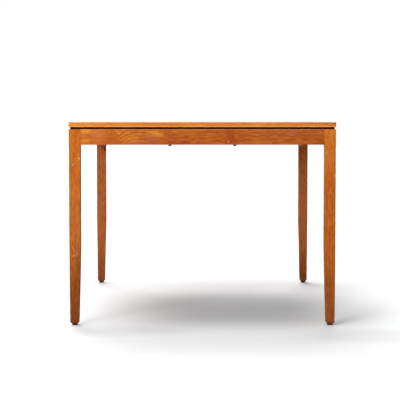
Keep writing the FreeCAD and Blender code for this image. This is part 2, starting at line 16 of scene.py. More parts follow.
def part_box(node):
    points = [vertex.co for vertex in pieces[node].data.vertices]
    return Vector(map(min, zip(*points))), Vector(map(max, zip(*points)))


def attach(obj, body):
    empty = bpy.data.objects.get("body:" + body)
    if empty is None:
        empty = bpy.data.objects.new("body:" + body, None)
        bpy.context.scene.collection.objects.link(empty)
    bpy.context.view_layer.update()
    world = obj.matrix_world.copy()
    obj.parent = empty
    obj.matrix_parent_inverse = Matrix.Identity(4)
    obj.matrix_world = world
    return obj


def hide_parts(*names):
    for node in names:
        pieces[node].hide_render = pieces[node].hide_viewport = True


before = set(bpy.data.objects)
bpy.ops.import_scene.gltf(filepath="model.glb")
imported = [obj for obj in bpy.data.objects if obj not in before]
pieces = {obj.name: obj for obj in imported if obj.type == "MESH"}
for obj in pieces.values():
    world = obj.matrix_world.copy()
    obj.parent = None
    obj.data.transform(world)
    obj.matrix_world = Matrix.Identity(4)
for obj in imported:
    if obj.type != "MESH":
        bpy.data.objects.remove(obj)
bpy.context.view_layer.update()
bpy.context.scene.view_settings.view_transform = "Standard"
leg_low, leg_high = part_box("leg_front_left")
frame_side, frame_front = leg_low.x, leg_low.y
print("pieces loaded:", len(pieces))

# %% [markdown]
# ## The camera
# The camera stands five and a half metres from one short end, as high as the top, with a long lens. From so
# far away the legs at the back look only a little smaller than the legs in front, and upright lines stay
# upright. It tips down by three degrees, which puts the table in the middle of the picture. Sliding the
# lens up with Blender's shift would do that too, but would spoil the views from other sides.

# %% Stand the camera
lens = bpy.data.cameras.new("camera")
lens.lens = 138.65
lens.sensor_width = 36
lens.clip_end = 100
camera = bpy.data.objects.new("camera", lens)
camera.location = (-0.0025, -6.321, 0.74)
camera.rotation_euler = (math.radians(90 - 2.92), 0, math.radians(0.063))
bpy.context.scene.collection.objects.link(camera)
bpy.context.scene.camera = camera
print("camera distance from the near legs:", round(frame_front - camera.location.y, 2))

# %% [markdown]
# ## Writing a finish as sums
# A Blender material is a net of nodes joined by wires. Wood needs dozens of them, mostly to add and
# multiply, and a long list of wires is hard to read. So a Reading stands for one wire: two Readings that
# are added, multiplied or compared make the Math node by themselves, and "1 - stain" reads as it would on
# paper. A Finish holds the net of one material and has one way to add any other node: its kind, its
# settings, its sockets.

# %% A wire that can be reckoned with
class Reading:
    """One number, place or colour in a finish."""

    def __init__(self, finish, socket):
        self.finish = finish
        self.socket = socket

    def maths(self, operation, *values):
        return self.finish.node("Math", {"operation": operation}, dict(enumerate(values)))

    def __add__(self, other):
        return self.maths("ADD", self, other)

    def __sub__(self, other):
        return self.maths("SUBTRACT", self, other)

    def __rsub__(self, other):
        return self.maths("SUBTRACT", other, self)

    def __mul__(self, other):
        return self.maths("MULTIPLY", self, other)

    def __truediv__(self, other):
        return self.maths("DIVIDE", self, other)

    def __pow__(self, other):
        return self.maths("POWER", self, other)

    __radd__ = __add__

    def root(self):
        return self.maths("SQRT", self)

    def size(self):
        return self.maths("ABSOLUTE", self)

    def fraction(self):
        return self.maths("FRACT", self)

    def whole(self):
        return self.maths("FLOOR", self)

    def back_and_forth(self, width):
        return self.maths("PINGPONG", self, width)

    def rise(self, start, end):
        """0 up to the start, 1 past the end, and a smooth rise between them."""
        sockets = {"Value": self, "From Min": start, "From Max": end}
        return self.finish.node("MapRange", {"interpolation_type": "SMOOTHSTEP"}, sockets)

    def near(self, middle, reach):
        """1 at a value, falling smoothly to 0 at a distance from it."""
        return (self - middle).size().rise(reach, 0)


# %% The net of one material
class Finish:
    """The nodes of a material, or of the world round the table."""

    def __init__(self, owner):
        self.owner = owner
        owner.use_nodes = True
        self.tree = owner.node_tree
        self.tree.nodes.clear()

    def node(self, kind, settings=None, sockets=None, output=0):
        """Add a node, fill or wire its sockets, and give back one of its outputs."""
        made = self.tree.nodes.new("ShaderNode" + kind)
        for setting, choice in (settings or {}).items():
            setattr(made, setting, choice)
        for socket, value in (sockets or {}).items():
            if isinstance(value, Reading):
                self.tree.links.new(value.socket, made.inputs[socket])
            else:
                made.inputs[socket].default_value = value
        return Reading(self, made.outputs[output]) if made.outputs else None

    def place(self):
        """Where a point of the surface is, in metres."""
        return self.node("TexCoord", output="Object")

    def apart(self, place):
        """A place as its three numbers."""
        split = self.node("SeparateXYZ", sockets={0: place}).socket.node
        return [Reading(self, socket) for socket in split.outputs]

    def together(self, x, y, z):
        """Three numbers as one place."""
        return self.node("CombineXYZ", sockets={0: x, 1: y, 2: z})

    def stretched(self, place, across, along):
        """A place whose pattern is drawn out along the grain."""
        return self.node("VectorMath", {"operation": "MULTIPLY"}, {0: place, 1: (across, across, along)})

    def noise(self, place, scale, detail=2.0, roughness=0.5, distortion=0.0):
        """Soft random patches between 0 and 1. The scale is about how many fit in a metre."""
        sockets = {"Vector": place, "Scale": scale, "Detail": detail,
                   "Roughness": roughness, "Distortion": distortion}
        return self.node("TexNoise", sockets=sockets)

    def mixed(self, share, first, second):
        """A colour between a first, written or wired, and a second that is written."""
        first = first if isinstance(first, Reading) else (*first, 1)
        return self.node("Mix", {"data_type": "RGBA"}, {0: share, 6: first, 7: (*second, 1)}, 2)

    def surface(self, colour, roughness, height, depth, **constant):
        """End the net in a shader: colour, gloss, and a relief of that depth in metres."""
        relief = self.node("Bump", sockets={"Height": height, "Distance": depth})
        sockets = {"Base Color": colour, "Roughness": roughness, "Normal": relief}
        sockets.update({name.replace("_", " "): value for name, value in constant.items()})
        shader = self.node("BsdfPrincipled", sockets=sockets)
        self.node("OutputMaterial", sockets={0: shader})
        return self.owner


def new_finish(name):
    return Finish(bpy.data.materials.new(name))


print("finishes can be written now")

# %% [markdown]
# ## The studio
# The table stands on a plain white floor that has no edge. Four soft sources light it. Two wide ones hang
# far overhead, one to the left and one high behind, and lay the shade of the top on the floor: darkest
# under the middle, with a long faint edge towards the camera. A softbox in front, to the left and above the
# table, lights the upright faces, and a grid keeps most of its light off the feet. The rest comes from all
# round, more of it from the left. They are set so that a colour comes out about as it is written. The white
# of the floor and of the space behind is not more light: both are paler to the eye, and to a mirror, than
# to the light that bounces off them. Lamps alone leave the shade on the floor thin and warm, since light
# that bounced off the wood is orange. So four soft ovals of paint help it: a cool one under the top, a wide
# one towards the camera, and a faint one by each near foot. Seen from below the floor is clear, so that the
# underside shows.

# %% Light from all round
def seen(finish):
    """1 for a ray from the eye, straight, mirrored or through glass, and 0 for light that bounces."""
    straight = finish.node("LightPath", output="Is Camera Ray")
    outputs = straight.socket.node.outputs
    mirrored = Reading(finish, outputs["Is Glossy Ray"])
    through = Reading(finish, outputs["Is Transmission Ray"])
    return straight.maths("MAXIMUM", straight.maths("MAXIMUM", straight, mirrored), through)


even_light = 0.33
less_from_the_right = 0.55
surroundings = Finish(bpy.data.worlds.new("surroundings"))
from_the_right = surroundings.apart(surroundings.node("TexCoord", output="Generated"))[0]
white = surroundings.node("Background", sockets={"Color": (1, 1, 1, 1), "Strength": 1.0})
strength = (1 - from_the_right * less_from_the_right) * even_light
dim = surroundings.node("Background", sockets={"Color": (1, 1, 1, 1), "Strength": strength})
either = surroundings.node("MixShader", sockets={0: seen(surroundings), 1: dim, 2: white})
surroundings.node("OutputWorld", sockets={0: either})
bpy.context.scene.world = surroundings.owner
print("even light:", even_light)

# %% Lay the floor
floor_finish = new_finish("studio_floor")
floor_x, floor_y = floor_finish.apart(floor_finish.place())[:2]
far_out = (floor_x * floor_x + floor_y * floor_y).root().rise(0.8, 3.0)
glow = floor_finish.mixed(far_out, (0.04, 0.04, 0.04), (0.5, 0.5, 0.5))


def floor_oval(middle, half_width, half_depth):
    """1 in the middle of an oval on the floor, falling softly to 0 a little past its rim."""
    across = (floor_x - middle[0]) / half_width
    back = (floor_y - middle[1]) / half_depth
    return (across ** 2 + back ** 2).root().rise(1.1, 0.3)


cool_white = (0.915, 0.94, 0.953)
under_top = floor_oval((0.13, -0.2), 0.46, 0.72)
in_front = floor_oval((0.17, -1.63), 1.5, 0.58)
by_right_foot = floor_oval((0.6, -1.05), 0.34, 0.26) * 0.85
by_left_foot = floor_oval((-0.29, -0.92), 0.3, 0.17) * 0.7
paint = floor_finish.mixed(under_top, cool_white, (0.742, 0.815, 0.845))
paint = floor_finish.mixed(in_front, paint, (0.737, 0.744, 0.748))
paint = floor_finish.mixed(by_right_foot, paint, (0.748, 0.757, 0.762))
paint = floor_finish.mixed(by_left_foot, paint, (0.76, 0.775, 0.782))
shown_sockets = {"Base Color": paint, "Roughness": 1.0, "Specular IOR Level": 0.0,
                 "Emission Color": glow, "Emission Strength": 1.0}
shown_floor = floor_finish.node("BsdfPrincipled", sockets=shown_sockets)
working_floor = floor_finish.node("BsdfDiffuse", sockets={"Color": (0.45, 0.45, 0.45, 1)})
eye = seen(floor_finish)
upper_side = floor_finish.node("MixShader", sockets={0: eye, 1: working_floor, 2: shown_floor})
clear = floor_finish.node("BsdfTransparent")
from_below = eye * floor_finish.node("NewGeometry", output="Backfacing")
both_sides = floor_finish.node("MixShader", sockets={0: from_below, 1: upper_side, 2: clear})
floor_finish.node("OutputMaterial", sockets={0: both_sides})

half_floor = 40
floor_mesh = bpy.data.meshes.new("floor")
floor_shape = bmesh.new()
bmesh.ops.create_grid(floor_shape, x_segments=1, y_segments=1, size=half_floor)
floor_shape.to_mesh(floor_mesh)
floor_shape.free()
floor_mesh.materials.append(floor_finish.owner)
floor = bpy.data.objects.new("floor", floor_mesh)
bpy.context.scene.collection.objects.link(floor)
print("floor laid, metres across:", 2 * half_floor)


# %% Set the lamps
def lamp_at(name, kind, place, aim, power):
    """A lamp that points at something and stays out of the picture."""
    lamp = bpy.data.lights.new(name, kind)
    lamp.energy = power
    hung = bpy.data.objects.new(name, lamp)
    hung.location = place
    hung.rotation_euler = (Vector(aim) - Vector(place)).to_track_quat("-Z", "Y").to_euler()
    hung.visible_camera = False
    bpy.context.scene.collection.objects.link(hung)
    print(name, "stands at", place)
    return lamp


overhead = lamp_at("overhead", "SUN", (-1.08, 0.08, 3.5), (0, 0, 0), 0.93)
overhead.angle = math.radians(39)
high_behind = lamp_at("high_behind", "SUN", (-0.55, 3.2, 3.5), (0, 0, 0), 1.98)
high_behind.angle = math.radians(32)
front_softbox = lamp_at("front_softbox", "AREA", (-1.7, -4.4, 2.3), (0, -0.7, 0.85), 14)
front_softbox.shape = "RECTANGLE"
front_softbox.size = 1.8
front_softbox.size_y = 1.4
front_softbox.spread = math.radians(50)

# %% [markdown]
# ## Wood
# A board is a slice of a tree, so its pattern is worked out the way the tree made it. Every piece is turned
# in thought until its grain runs along Z, and set beside the middle of a trunk. How far a point lies from
# that middle says which year's ring it belongs to. A ring is pale where the year begins and darkens to a
# thin line where it ends. A cut along the trunk then shows straight lines or long arches and a cut across
# it shows arcs, with nothing drawn by hand. On top of the rings come the things the eye knows as wood:
# fibres, dark pores like fine scratches along the grain, short deep and pale flecks, patches where the
# colour drifts, and curl, where the fibres lean and the light catches them. Last come stains and marks.

# %% The colours of the table's wood
hardwood = {
    "pale": (0.8, 0.27, 0.026),
    "body": (0.58, 0.145, 0.014),
    "deep": (0.39, 0.08, 0.01),
    "vein": (0.17, 0.032, 0.005),
    "blush": (0.52, 0.165, 0.055),
}
grain_turns = {
    "X": (0, -math.pi / 2, 0),
    "Y": (math.pi / 2, 0, 0),
    "Z": (0, 0, 0),
}


# %% Put a piece in its tree
def in_the_tree(finish, node, grain, from_pith):
    """Places on a piece, turned so that its grain runs along Z, as far from the pith as asked."""
    low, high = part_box(node)
    turn = grain_turns[grain]
    middle = Euler(turn).to_matrix() @ ((low + high) / 2)
    sockets = {"Vector": finish.place(), "Rotation": turn, "Location": Vector(from_pith) - middle}
    return finish.node("Mapping", sockets=sockets)


class Timber:
    """The pattern of one board: its colour, and the relief of its pores."""

    def __init__(self, finish, tree, tones, ring_gap, wander, curl, ring_share=0.38, bend=None):
        self.finish = finish
        self.tree = tree
        self.tones = tones
        rings = self.rings(ring_gap, wander, bend)
        colour = finish.mixed(self.drift(), tones["body"], tones["deep"])
        colour = finish.mixed(self.curl() * curl, colour, tones["pale"])
        colour = finish.mixed(self.blush() * 0.5, colour, tones["blush"])
        colour = finish.mixed(rings * ring_share, colour, tones["deep"])
        colour = finish.mixed(self.fibre() * 0.45, colour, tones["pale"])
        self.pores = self.pore_marks()
        self.colour = finish.mixed(self.pores * 0.55, colour, tones["vein"])
        self.relief = 1 - self.pores + rings * 0.1

    def pattern(self, along, scale, detail=2.0, roughness=0.5, distortion=0.0):
        """Soft random patches, drawn out along the grain."""
        drawn_out = self.finish.stretched(self.tree, 1.0, along)
        return self.finish.noise(drawn_out, scale, detail, roughness, distortion)

    def rings(self, gap, wander, bend):
        """The rings of the years, each rising to a thin line where its year ends."""
        finish = self.finish
        quick_wander = 0.0022
        good_and_bad_years = 2.2
        late_in_the_year = 2.2
        slow = self.pattern(0.16, 8.0) - 0.5
        quick = self.pattern(0.3, 55.0) - 0.5
        across, through = finish.apart(self.tree)[:2]
        radius = (across * across + through * through).root() + slow * wander + quick * quick_wander
        if bend is not None:
            radius = radius + bend
        uneven = finish.node("TexNoise", {"noise_dimensions": "1D"}, {"W": radius * 30.0, "Scale": 1.0})
        year = (radius / gap + uneven * good_and_bad_years).fraction()
        return year ** late_in_the_year

    def drift(self):
        """Wide patches of deeper colour."""
        return self.pattern(0.22, 14.0, 2.0, 0.55).rise(0.36, 0.72)

    def curl(self):
        """Where the fibres lean towards the light."""
        return self.pattern(0.9, 26.0, 2.0, 0.55, 0.9).rise(0.46, 0.74)

    def blush(self):
        """Small rosy patches."""
        patches = self.finish.noise(self.finish.stretched(self.tree, 0.9, 0.4), 21.0, 1.0)
        return patches.rise(0.56, 0.76)

    def fibre(self):
        """Long fine threads along the grain."""
        return self.pattern(0.022, 330.0, 3.0, 0.65).rise(0.42, 0.78)

    def pore_marks(self):
        """Short dark cuts, the open ends of the pores."""
        return self.pattern(0.05, 3600.0, 1.0).rise(0.6, 0.72)

    def tinted(self, share, colour):
        """Bring a mark or a stain into the colour."""
        self.colour = self.finish.mixed(share, self.colour, colour)

    def flecked(self, strength, fineness=170.0):
        """Short flecks along the grain, some deeper and some paler than the wood round them."""
        pale_strength = strength * 0.65
        flecks = self.pattern(0.2, fineness, 2.0, 0.6)
        self.tinted(flecks.rise(0.5, 0.68) * strength, self.tones["vein"])
        self.tinted(flecks.rise(0.49, 0.31) * pale_strength, self.tones["pale"])

    def oiled(self, gloss=0.05):
        """Close the net with an oiled, hand-rubbed surface."""
        pore_depth = 0.00012
        cloudy = self.finish.noise(self.tree, 40)
        roughness = 0.46 + cloudy * 0.14 + self.pores * 0.2
        surface = self.finish.surface
        return surface(self.colour, roughness, self.relief, pore_depth, Specular_IOR_Level=gloss)


def board(node, grain, from_pith, tones, kind="_wood", **pattern):
    """A board for one CAD piece, cut beside the pith."""
    finish = new_finish(node + kind)
    return Timber(finish, in_the_tree(finish, node, grain, from_pith), tones, **pattern)


def dress(node, material):
    """Give a CAD piece its finish."""
    slots = pieces[node].material_slots
    if not slots:
        pieces[node].data.materials.append(material)
    for slot in slots:
        slot.material = material
    print(node, "wears", material.name)


print("the way to grow a board is set")

# %% [markdown]
# ## The legs
# Each leg is one square stick, cut so that its grain runs straight from top to foot. Four boards from four
# places in the tree keep the legs from looking copied. The wood is worn where chairs and shoes meet it, and
# painted shade darkens it towards the feet, where less light reaches, with a little dust. The back legs
# have painted shade at the top, under the aprons, and the back left one has a slanting painted shadow with
# a painted highlight beside it. A few shallow scratches cross the two left legs, and small bruises show on
# three of the four. A scratch is every point close to a bowed line, on one face only, and a bruise is every
# point close to a spot. A faint line of painted shade runs down the seams where the front legs meet the
# near apron.

# %% Marks on the legs
rubbed_pale = (0.85, 0.5, 0.25)
rubbed_grey = (0.36, 0.12, 0.05)
scratched_pale = (0.8, 0.42, 0.22)
foot_shade_and_dust = (0.17, 0.038, 0.008)
scratch_depth = 0.0025
chip_depth = 0.0035


def scratch(place, face, start, end, bow, width=0.0011):
    """A bowed scratch on an upright face, from one (across, up) point to another."""
    across, deep, up = place
    (x0, z0), (x1, z1) = start, end
    run = (across - x0) / (x1 - x0)
    line = z0 + run * (z1 - z0) + run * (1 - run) * bow
    on_face = deep.near(face, scratch_depth)
    between = run.rise(-0.05, 0.12) * run.rise(1.05, 0.88)
    return (up - line).near(0.0, width) * on_face * between


def chip(place, face, spot, reach):
    """A small bruise on an upright face."""
    across, deep, up = place
    offset = ((across - spot[0]) ** 2 + (up - spot[1]) ** 2).root()
    return offset.rise(reach, reach * 0.4) * deep.near(face, chip_depth)


def mark_front_left(wood, place):
    """A worn middle, painted shade at the foot, three scratches and a bruise on the inner edge."""
    face, wide = frame_front, 0.0017
    wood.tinted(place[2].near(0.36, 0.26) * 0.22, rubbed_grey)
    # Painted shade at the foot, with a little dust
    wood.tinted(place[2].near(0.185, 0.12) * 0.26, foot_shade_and_dust)
    upper = scratch(place, face, (-0.4715, 0.5797), (-0.458, 0.59), -0.002, wide)
    falling = scratch(place, face, (-0.4715, 0.2877), (-0.4585, 0.2677), -0.003, wide)
    rising = scratch(place, face, (-0.4715, 0.2517), (-0.4505, 0.2617), -0.005, wide)
    for mark in (upper, falling, rising):
        wood.tinted(mark * 0.95, rubbed_pale)
    wood.tinted(chip(place, face, (-0.4445, 0.6065), 0.0032), (0.95, 0.68, 0.44))


def mark_front_right(wood, place):
    """A pale upper part, a deeper middle, a ruddy foot and three bruises."""
    face = frame_front
    wood.tinted(place[2].rise(0.46, 0.62) * 0.26, hardwood["pale"])
    wood.tinted(place[2].near(0.33, 0.16) * 0.28, (0.4, 0.085, 0.012))
    wood.tinted(place[2].rise(0.2, 0.03) * 0.24, (0.5, 0.15, 0.04))
    wood.tinted(chip(place, face, (0.4487, 0.6255), 0.01) * 0.35, (0.85, 0.33, 0.05))
    wood.tinted(chip(place, face, (0.4654, 0.6334), 0.0022) * 0.45, rubbed_pale)
    wood.tinted(chip(place, face, (0.4785, 0.5446), 0.0034) * 0.5, rubbed_pale)


def mark_back_left(wood, place):
    """A rosy board with painted shade at the top and the foot, a slanting painted shadow edged by a painted
    highlight, and four scratches.
    """
    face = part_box("leg_back_left")[0].y
    wood.tinted(0.45, (0.56, 0.15, 0.055))
    # Painted shade at the top of the leg, under the aprons, and at the foot
    wood.tinted(place[2].rise(0.59, 0.625) * 0.4, (0.26, 0.05, 0.018))
    wood.tinted(place[2].rise(0.17, 0.05) * 0.3, foot_shade_and_dust)
    # Painted shadow: a dark slant where the left side apron's shadow crosses the leg, with a painted
    # highlight along its edge
    side_apron_shadow_edge = place[0] + 0.456 + (place[2] - 0.619) * 0.64
    on_face = place[1].near(face, 0.01) * place[2].rise(0.585, 0.595)
    wood.tinted(side_apron_shadow_edge.rise(-0.001, 0.003) * on_face * 0.75, (0.08, 0.018, 0.009))
    wood.tinted(side_apron_shadow_edge.near(-0.0045, 0.004) * on_face * 0.45, (0.66, 0.22, 0.1))
    upper = scratch(place, face, (-0.478, 0.583), (-0.45, 0.5895), 0.004)
    below = scratch(place, face, (-0.478, 0.5455), (-0.45, 0.557), 0.004)
    middle = scratch(place, face, (-0.474, 0.328), (-0.448, 0.3275), 0.001)
    lower = scratch(place, face, (-0.476, 0.2375), (-0.448, 0.239), 0.001)
    for mark, share in ((below, 0.6), (upper, 0.35), (middle, 0.4), (lower, 0.4)):
        wood.tinted(mark * share, scratched_pale)


def mark_back_right(wood, place):
    """A glowing board with painted shade at the top, and one bruise."""
    node = "leg_back_right"
    wood.tinted(place[2].near(0.35, 0.38) * 0.92, (0.92, 0.31, 0.092))
    # Painted shade at the top of the leg, under the aprons
    wood.tinted(place[2].rise(0.545, 0.615) * 0.3, (0.14, 0.026, 0.012))
    wood.tinted(chip(place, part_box(node)[0].y, (0.4504, 0.5686), 0.007) * 0.6, hardwood["vein"])


print("marks can be left on the legs now")

# %% Grow the legs
leg_boards = {
    "leg_front_left": ((0.11, 0.035, 0.4), mark_front_left),
    "leg_front_right": ((-0.09, 0.06, 2.1), mark_front_right),
    "leg_back_left": ((0.05, 0.1, 3.7), mark_back_left),
    "leg_back_right": ((-0.06, -0.12, 5.2), mark_back_right),
}
for node, (from_pith, leave_marks) in leg_boards.items():
    wood = board(node, "Z", from_pith, hardwood, ring_gap=0.0042, wander=0.012, curl=0.35)
    place = wood.finish.apart(wood.finish.place())
    mottled = wood.pattern(0.45, 85.0, 3.0, 0.6)
    wood.tinted(mottled.rise(0.48, 0.66) * 0.2, (0.4, 0.085, 0.014))
    # Painted shade: every leg darker towards its foot, where less light reaches, with a little dust
    wood.tinted(place[2].rise(0.33, 0.0) * 0.75, foot_shade_and_dust)
    # Painted shade: a faint dark line down the seams where the front legs meet the near apron
    if node.startswith("leg_front"):
        on_front = place[1].rise(frame_front + 0.003, frame_front)
        seam_shade = place[0].size().rise(0.4432, 0.4406) * on_front
        wood.tinted(seam_shade * place[2].rise(0.655, 0.657) * 0.35, hardwood["vein"])
    leave_marks(wood, place)
    wood.flecked(0.36, 250.0)
    dress(node, wood.oiled())

# %% [markdown]
# ## The aprons
# The four rails under the top are flat boards on edge. The near one is the most lively piece of the table.
# At its left end the tree had a fork close by, and the fibres swirl there and shine in flames of pale
# orange. Further right the grain settles into long straight streaks and a deeper red brown. There is one
# small knot by the lower edge. To make a knot, the rings are pushed outwards round one spot, so that they
# bend past it. The flames, stains and streaks are ragged ovals, brought in one after another.

# %% Grow the side and back aprons
apron_boards = {
    "side_apron_left": ("Y", (0.05, 0.09, 0.9)),
    "side_apron_right": ("Y", (0.07, -0.06, 2.6)),
    "end_apron_back": ("X", (0.03, 0.08, 4.4)),
}
for node, (grain, from_pith) in apron_boards.items():
    wood = board(node, grain, from_pith, hardwood, ring_gap=0.0046, wander=0.02, curl=0.4)
    wood.flecked(0.4)
    dress(node, wood.oiled())

# %% Grow the near apron
near_apron = new_finish("end_apron_front_wood")
apron_x, apron_z = near_apron.apart(near_apron.place())[::2]
lively = apron_x.rise(-0.1, -0.26)
swirl = near_apron.noise(near_apron.place(), 17.0, 2.0, 0.6, 0.8) - 0.5
knot = (((apron_x - 0.096) * 0.7) ** 2 + (apron_z - 0.668) ** 2).root().rise(0.03, 0.0)
bend = lively * swirl * 0.05 + knot * 0.016
tree = in_the_tree(near_apron, "end_apron_front", "X", (0.035, 0.07, 1.2))
wood = Timber(near_apron, tree, hardwood, ring_gap=0.0046, wander=0.016, curl=0.25, bend=bend)
wood.tinted(0.42, (0.36, 0.068, 0.008))
wood.flecked(0.55)
wood.tinted(apron_x.rise(-0.2, -0.06) * 0.22, (0.36, 0.066, 0.006))
mottled = wood.pattern(0.35, 75.0, 3.0, 0.6)
wood.tinted(mottled.rise(0.5, 0.68) * 0.22, (0.6, 0.19, 0.075))
streaks = wood.pattern(0.09, 110.0, 3.0, 0.65)
right_of_the_fork = apron_x.rise(-0.2, 0.0)
wood.tinted(streaks.rise(0.52, 0.66) * right_of_the_fork * 0.4, hardwood["vein"])
wood.tinted(streaks.rise(0.44, 0.32) * right_of_the_fork * 0.3, (0.66, 0.205, 0.04))

# %% Marks on the near apron
ragged = near_apron.noise(near_apron.place(), 55.0, 3.0, 0.6, 0.5) - 0.5
ragged_too = near_apron.noise(near_apron.place(), 48.0, 3.0, 0.6, 1.1) - 0.5
ragged_x = apron_x + ragged * 0.022
ragged_z = apron_z + ragged_too * 0.016


def soft_patch(middle, half_length, half_height, slant=0):
    """1 in the middle of a ragged, leaning oval on the near apron, fading out to its rim."""
    across, up = ragged_x - middle[0], ragged_z - middle[1]
    cosine, sine = math.cos(math.radians(slant)), math.sin(math.radians(slant))
    along = (across * cosine + up * sine) / half_length
    beside = (up * cosine - across * sine) / half_height
    return (along ** 2 + beside ** 2).root().rise(1.4, 0.2)


def stain(colour, share, *patch, lines=1):
    """Bring a colour in over a soft patch, or only along its lines."""
    wood.tinted(soft_patch(*patch) * lines * share, colour)


def round_lines(centre, gap, width):
    """Lines that run round a centre, as the fibres do beside a knot."""
    away = ((ragged_x - centre[0]) ** 2 + (ragged_z - centre[1]) ** 2).root()
    return (away / gap).fraction().near(0.5, width)


glowing = (0.9, 0.34, 0.045)
rosy = (0.62, 0.185, 0.065)
ruddy = (0.4, 0.078, 0.01)
fork_lines = round_lines((-0.225, 0.59), 0.0125, 0.45)
swirl_lines = round_lines((-0.326, 0.697), 0.013, 0.4)

# The flames at the left end
stain((0.78, 0.245, 0.03), 0.26, (-0.4, 0.684), 0.075, 0.05)
stain(rosy, 0.45, (-0.375, 0.69), 0.03, 0.024)
stain(glowing, 0.55, (-0.424, 0.706), 0.026, 0.012)
stain(glowing, 0.3, (-0.42, 0.669), 0.026, 0.009, 10)
stain(ruddy, 0.6, (-0.408, 0.688), 0.018, 0.005, -50)
stain(ruddy, 0.45, (-0.402, 0.662), 0.018, 0.005, 30)
stain((0.48, 0.105, 0.008), 0.34, (-0.368, 0.673), 0.05, 0.015)
stain(ruddy, 0.75, (-0.326, 0.692), 0.03, 0.022, lines=swirl_lines)
stain(ruddy, 0.55, (-0.296, 0.693), 0.018, 0.009, 25)
stain(glowing, 0.38, (-0.306, 0.702), 0.014, 0.005, -45)
stain(ruddy, 0.45, (-0.33, 0.67), 0.034, 0.012, 20)

# The fork and the stains to its right
stain(glowing, 0.36, (-0.265, 0.685), 0.055, 0.032, lines=fork_lines)
stain((0.5, 0.14, 0.055), 0.45, (-0.24, 0.664), 0.036, 0.008, 10)
stain((0.46, 0.125, 0.05), 0.6, (-0.182, 0.676), 0.034, 0.014, 10)
stain(glowing, 0.5, (-0.168, 0.696), 0.034, 0.01, -16)
stain(ruddy, 0.4, (-0.135, 0.676), 0.03, 0.012, 10)

# The right end, the knot with its dark streak, and two thin veins
stain((0.38, 0.098, 0.04), 0.65, (0.33, 0.699), 0.024, 0.014)
stain((0.62, 0.185, 0.022), 0.3, (0.212, 0.669), 0.06, 0.01)
stain((0.34, 0.06, 0.01), 0.95, (0.103, 0.686), 0.036, 0.02, -78)
stain((0.32, 0.055, 0.009), 0.6, (0.114, 0.672), 0.024, 0.011, -20)
stain(hardwood["vein"], 0.45, (0.06, 0.667), 0.045, 0.003, -4)
stain(hardwood["vein"], 0.6, (0.253, 0.661), 0.0055, 0.0035)


def fleck(x, z, reach):
    """A tiny bright spot where the fibres stand on end."""
    return ((apron_x - x) ** 2 + (apron_z - z) ** 2).root().rise(reach, reach * 0.3)


wood.tinted(fleck(0.094, 0.6665, 0.004) * 0.75, glowing)
wood.tinted(fleck(0.25, 0.661, 0.003) * 0.55, glowing)
# Painted highlight: a pale line along the near apron's upper edge, below the shadow gap
upper_edge = apron_z.rise(0.709, 0.712)
wood.tinted(upper_edge * 0.6, (0.66, 0.33, 0.17))
dress("end_apron_front", wood.oiled())

# %% [markdown]
# ## The top
# The top is a panel between two veneers, with a narrow solid lipping round its edge. A veneer is sliced
# from a log leaf by leaf, and leaves that come off one after the other are almost the same. The maker turns
# every second one over and sets them edge to edge, so that each pair opens like a book. The sum for that is
# a fold: the distance across the top runs forth and back with each leaf. The arches come from the rings,
# since a flat cut through a trunk that leans shows each ring as a long narrow arch. The solid lippings are
# lighter and straighter, with a painted highlight along the lower edge over a line of painted shade
# underneath, and one small dark dent at the right end of the near one.

# %% Lay the face veneer
def book_matched(node, leaf_width, tones, lean, ring_gap, curl):
    """Veneer leaves side by side, each the mirror image of its neighbours."""
    finish = new_finish(node + "_wood")
    half_leaf = leaf_width * 0.5
    joint_width = 0.0006
    slice_off = 0.004
    x, y = finish.apart(finish.place())[:2]
    folded = (x + half_leaf).back_and_forth(leaf_width)
    leaf = ((x + half_leaf) / leaf_width).whole()
    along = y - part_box(node)[0].y
    across = folded - leaf_width * 0.62
    tree = finish.together(across, along * lean + 0.018, along + leaf * slice_off)
    wood = Timber(finish, tree, tones, ring_gap, wander=0.012, curl=curl, ring_share=0.62)
    tint = (leaf * 0.37 + 0.2).fraction()
    wood.tinted(tint * 0.22, tones["deep"])
    to_joint = (folded - half_leaf).size()
    wood.tinted(to_joint.rise(half_leaf - joint_width, half_leaf) * 0.5, tones["vein"])
    return wood


face_leaf = 0.1595
face_gloss = 0.22
face_wood = book_matched("top_face_veneer", face_leaf, hardwood, 0.055, 0.0062, 0.16)
dress("top_face_veneer", face_wood.oiled(face_gloss))

backing_leaf = 0.2392
dull = dict(hardwood, pale=(0.62, 0.25, 0.06), body=(0.46, 0.15, 0.03), deep=(0.34, 0.1, 0.018))
backing_wood = book_matched("top_backing_veneer", backing_leaf, dull, 0.02, 0.005, 0.15)
dress("top_backing_veneer", backing_wood.oiled())

